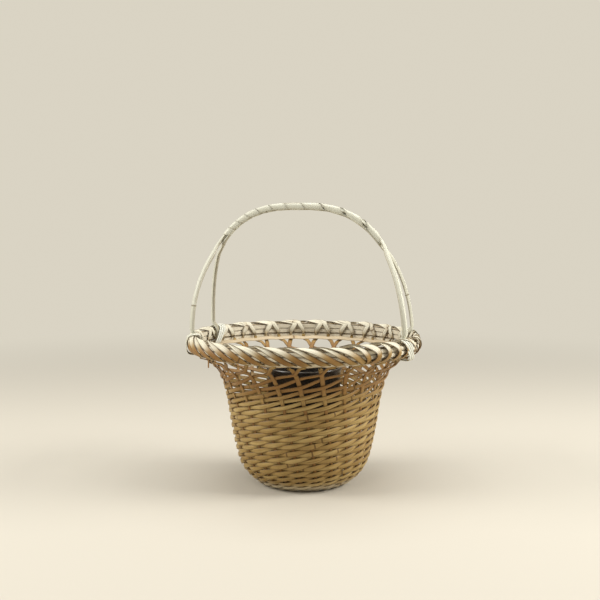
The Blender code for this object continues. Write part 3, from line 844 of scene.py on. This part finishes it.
def lashing(name, azimuth, sense, node):
    """The turns round the border and the foot of one strip, leaning by sense to +1 or -1."""
    inner = foot_radius - STRIP_THICK / 2 - GAP - LASHING_THICK / 2 - STAKE_THICK
    outer = RIM_RADIUS + LASHING_PROUD + LASHING_THICK / 2
    top = BODY_HEIGHT + LASHING_LIFT + LASHING_THICK / 2
    bottom = waist_bottom - LASHING_LIFT - LASHING_THICK / 2
    lean = (STRIP_WIDTH + LASHING_WIDTH + LASHING_PITCH) / 2 + LASHING_CLEAR
    route = []
    for step in range(LASHING_TURNS * LASHING_STEPS + 1):
        turns = step / LASHING_STEPS
        across, up = math.cos(math.tau * turns), math.sin(math.tau * turns)
        square = (abs(across) ** LASHING_POWER + abs(up) ** LASHING_POWER) ** (-1 / LASHING_POWER)
        radius = (inner + outer) / 2 + (outer - inner) / 2 * across * square
        height = (top + bottom) / 2 + (top - bottom) / 2 * up * square
        swing = lean * up * square + LASHING_PITCH * (turns - LASHING_TURNS / 2)
        turn = azimuth + sense * swing / RIM_RADIUS
        out_across = abs(across) ** (LASHING_POWER - 1) * across
        out = cylindrical(out_across, turn, abs(up) ** (LASHING_POWER - 1) * up)
        route.append((cylindrical(radius, turn, height), out, cylindrical(-1, turn - math.pi / 2, 0)))
    tie = lay_splint(name, wound_flat(route), LASHING_WIDTH, LASHING_THICK, name)
    dress(tie, handle_bamboo, "handle_bamboo", node)


right = math.pi / 2 + HANDLE_TURN
lashing("lashing_front_right", right - FOOT_SPREAD, -1, "foot_lashing_front_right")
lashing("lashing_back_right", right + FOOT_SPREAD, 1, "foot_lashing_back_right")
lashing("lashing_back_left", right + math.pi - FOOT_SPREAD, -1, "foot_lashing_back_left")
lashing("lashing_front_left", right + math.pi + FOOT_SPREAD, 1, "foot_lashing_front_left")


# Water cup. A turned cylinder with a rounded lip stands on the base and lifts out. Its black lacquer
# is glossy, with faint brush marks that run round it, and it is rubbed browner and duller in places.
CUP_ROUND = 96
CUP_SHARP = 50
CUP_STAND = 0.0002
CUP_TAPER = 0.004
CUP_WALL = 0.002
CUP_FLOOR = 0.0025
CUP_RECESS = 0.0008
LIP = 0.0009
CUP_BLACK = (0.011, 0.010, 0.010, 1)
CUP_BROWN = (0.026, 0.018, 0.013, 1)
CUP_GLOSSY = 0.14
CUP_RUBBED = 0.27
CLOUD_SCALE = 55
CLOUD_RANGE = (0.35, 0.65)
BRUSH_SCALE = (9, 9, 700)
BRUSH_STRENGTH = 0.35
BRUSH_RELIEF = 0.00012
_, cup_outer, cup_bottom, cup_top = ring_size("water_cup")
cup_radius = cup_outer - LIP
cup_foot = cup_radius - CUP_TAPER
cup_inside = cup_radius - CUP_WALL
bottom = cup_bottom + CUP_STAND

# The cup's profile as (radius, height), from the middle of its floor over the lip to under its foot.
cup_profile = [
    (0, bottom + CUP_FLOOR), (cup_foot - 0.006, bottom + CUP_FLOOR), (cup_foot - 0.0035, bottom + 0.0035),
    (cup_foot - CUP_WALL, bottom + 0.007), (cup_inside, cup_top - 0.003),
    (cup_radius - 0.8 * CUP_WALL, cup_top - 0.0008), (cup_radius - CUP_WALL / 2, cup_top),
    (cup_radius + LIP / 2, cup_top), (cup_outer, cup_top - 0.0007), (cup_outer, cup_top - 0.0016),
    (cup_radius, cup_top - 0.0028), (cup_foot + 0.0001, bottom + 0.003), (cup_foot - 0.0006, bottom + 0.0008),
    (cup_foot - 0.002, bottom), (cup_foot - 0.005, bottom), (cup_foot - 0.006, bottom + CUP_RECESS),
    (0, bottom + CUP_RECESS),
]
mesh = bmesh.new()
corners = [mesh.verts.new((radius, 0, height)) for radius, height in cup_profile]
edges = [mesh.edges.new(pair) for pair in zip(corners, corners[1:])]
bmesh.ops.spin(
    mesh, geom=corners + edges, cent=(0, 0, 0), axis=(0, 0, 1), angle=math.tau, steps=CUP_ROUND,
    use_merge=True,
)
bmesh.ops.remove_doubles(mesh, verts=mesh.verts, dist=SAME_PLACE)
bmesh.ops.recalc_face_normals(mesh, faces=mesh.faces)
cup = finished("lacquered_cup", mesh, CUP_SHARP)

cup_black = bpy.data.materials.new("cup_black")
cup_black.use_nodes = True
nodes = cup_black.node_tree.nodes
links = cup_black.node_tree.links
shader = nodes["Principled BSDF"]
place = nodes.new("ShaderNodeTexCoord")
cloud = nodes.new("ShaderNodeTexNoise")
cloud.inputs["Scale"].default_value = CLOUD_SCALE
rubbed = nodes.new("ShaderNodeMapRange")
rubbed.inputs["From Min"].default_value = CLOUD_RANGE[0]
rubbed.inputs["From Max"].default_value = CLOUD_RANGE[1]
tint = nodes.new("ShaderNodeMix")
tint.data_type = "RGBA"
tint.inputs[6].default_value = CUP_BLACK
tint.inputs[7].default_value = CUP_BROWN
dulled = nodes.new("ShaderNodeMapRange")
dulled.inputs["To Min"].default_value = CUP_GLOSSY
dulled.inputs["To Max"].default_value = CUP_RUBBED
stretched = nodes.new("ShaderNodeMapping")
stretched.inputs["Scale"].default_value = BRUSH_SCALE
brushing = nodes.new("ShaderNodeTexNoise")
brushing.inputs["Scale"].default_value = 1
bump = nodes.new("ShaderNodeBump")
bump.inputs["Strength"].default_value = BRUSH_STRENGTH
bump.inputs["Distance"].default_value = BRUSH_RELIEF
links.new(place.outputs["Object"], cloud.inputs["Vector"])
links.new(cloud.outputs[0], rubbed.inputs["Value"])
links.new(rubbed.outputs[0], tint.inputs[0])
links.new(tint.outputs[2], shader.inputs["Base Color"])
links.new(rubbed.outputs[0], dulled.inputs["Value"])
links.new(dulled.outputs[0], shader.inputs["Roughness"])
links.new(place.outputs["Object"], stretched.inputs["Vector"])
links.new(stretched.outputs["Vector"], brushing.inputs["Vector"])
links.new(brushing.outputs[0], bump.inputs["Height"])
links.new(bump.outputs[0], shader.inputs["Normal"])
dress(cup, cup_black, "cup_black", "water_cup", body="cup")


# Floor and backdrop. One plain pale sheet lies under the basket. Far from it, where no shadow
# reaches, the sheet fades into the even backdrop.
FLOOR_SIZE = 6.0
FLOOR_PALE = (0.60, 0.56, 0.475, 1)
FLOOR_ROUGH = 0.8
BACKDROP = (0.70, 0.655, 0.55, 1)
FADE_FROM = 0.35
FADE_UNTIL = 1.3
mesh = bmesh.new()
bmesh.ops.create_grid(mesh, x_segments=2, y_segments=2, size=FLOOR_SIZE / 2)
floor = finished("floor", mesh)
floor_finish = bpy.data.materials.new("floor_pale")
floor_finish.use_nodes = True
nodes = floor_finish.node_tree.nodes
links = floor_finish.node_tree.links
shader = nodes["Principled BSDF"]
shader.inputs["Base Color"].default_value = FLOOR_PALE
shader.inputs["Roughness"].default_value = FLOOR_ROUGH
place = nodes.new("ShaderNodeTexCoord")
away = nodes.new("ShaderNodeVectorMath")
away.operation = "LENGTH"
fade = nodes.new("ShaderNodeMapRange")
fade.interpolation_type = "SMOOTHSTEP"
fade.inputs["From Min"].default_value = FADE_FROM
fade.inputs["From Max"].default_value = FADE_UNTIL
rays = nodes.new("ShaderNodeLightPath")
far = nodes.new("ShaderNodeMath")
far.operation = "MULTIPLY"
glow = nodes.new("ShaderNodeEmission")
glow.inputs["Color"].default_value = BACKDROP
mixed = nodes.new("ShaderNodeMixShader")
links.new(place.outputs["Object"], away.inputs[0])
links.new(away.outputs["Value"], fade.inputs["Value"])
links.new(fade.outputs[0], far.inputs[0])
links.new(rays.outputs["Is Camera Ray"], far.inputs[1])
links.new(far.outputs[0], mixed.inputs[0])
links.new(shader.outputs[0], mixed.inputs[1])
links.new(glow.outputs[0], mixed.inputs[2])
links.new(mixed.outputs[0], nodes["Material Output"].inputs["Surface"])
floor.data.materials.append(floor_finish)


# Light. Two broad soft lamps stand at the sides, a weaker one hangs above, and a faint one fills from
# the front. The world adds a dim even light, and the camera and reflections see it as the backdrop.
LIGHT_COLOUR = (1, 0.985, 0.955)
LAMP_AIM = Vector((0, 0, 0.12))
AMBIENT_STRENGTH = 0.18


def softbox(name, place, size, watts):
    """A square soft lamp at a place, turned to the basket."""
    lamp = bpy.data.lights.new(name, "AREA")
    lamp.size = size
    lamp.energy = watts
    lamp.color = LIGHT_COLOUR
    holder = bpy.data.objects.new(name, lamp)
    holder.location = place
    holder.rotation_euler = (LAMP_AIM - Vector(place)).to_track_quat("-Z", "Y").to_euler()
    bpy.context.scene.collection.objects.link(holder)


softbox("lamp_above", (0.0, 0.05, 1.2), size=0.9, watts=7.5)
softbox("lamp_right", (1.38, -0.20, 0.85), size=0.8, watts=25.0)
softbox("lamp_left", (-1.38, -0.20, 0.85), size=0.8, watts=18.0)
softbox("lamp_front", (-0.30, -1.0, 1.2), size=0.6, watts=3.0)

world = bpy.data.worlds.new("studio")
bpy.context.scene.world = world
world.use_nodes = True
nodes = world.node_tree.nodes
links = world.node_tree.links
rays = nodes.new("ShaderNodeLightPath")
seen = nodes.new("ShaderNodeMath")
seen.operation = "MAXIMUM"
ambient = nodes["Background"]
ambient.inputs["Color"].default_value = (*LIGHT_COLOUR, 1)
ambient.inputs["Strength"].default_value = AMBIENT_STRENGTH
backdrop = nodes.new("ShaderNodeBackground")
backdrop.inputs["Color"].default_value = BACKDROP
backdrop.inputs["Strength"].default_value = 1
mixed = nodes.new("ShaderNodeMixShader")
links.new(rays.outputs["Is Camera Ray"], seen.inputs[0])
links.new(rays.outputs["Is Glossy Ray"], seen.inputs[1])
links.new(seen.outputs[0], mixed.inputs[0])
links.new(ambient.outputs[0], mixed.inputs[1])
links.new(backdrop.outputs[0], mixed.inputs[2])
links.new(mixed.outputs[0], nodes["World Output"].inputs["Surface"])
bpy.context.scene.view_settings.view_transform = "Standard"


# Camera. It stands a metre in front of the basket, at the height of the handle's top, and looks
# slightly down.
CAMERA_PLACE = (-0.004, -0.993, 0.274)
CAMERA_DOWN = 5.23
camera = bpy.data.objects.new("camera", bpy.data.cameras.new("camera"))
camera.data.sensor_width = 36
camera.data.lens = 60
camera.location = CAMERA_PLACE
camera.rotation_euler = (math.radians(90 - CAMERA_DOWN), 0, 0)
bpy.context.scene.collection.objects.link(camera)
bpy.context.scene.camera = camera
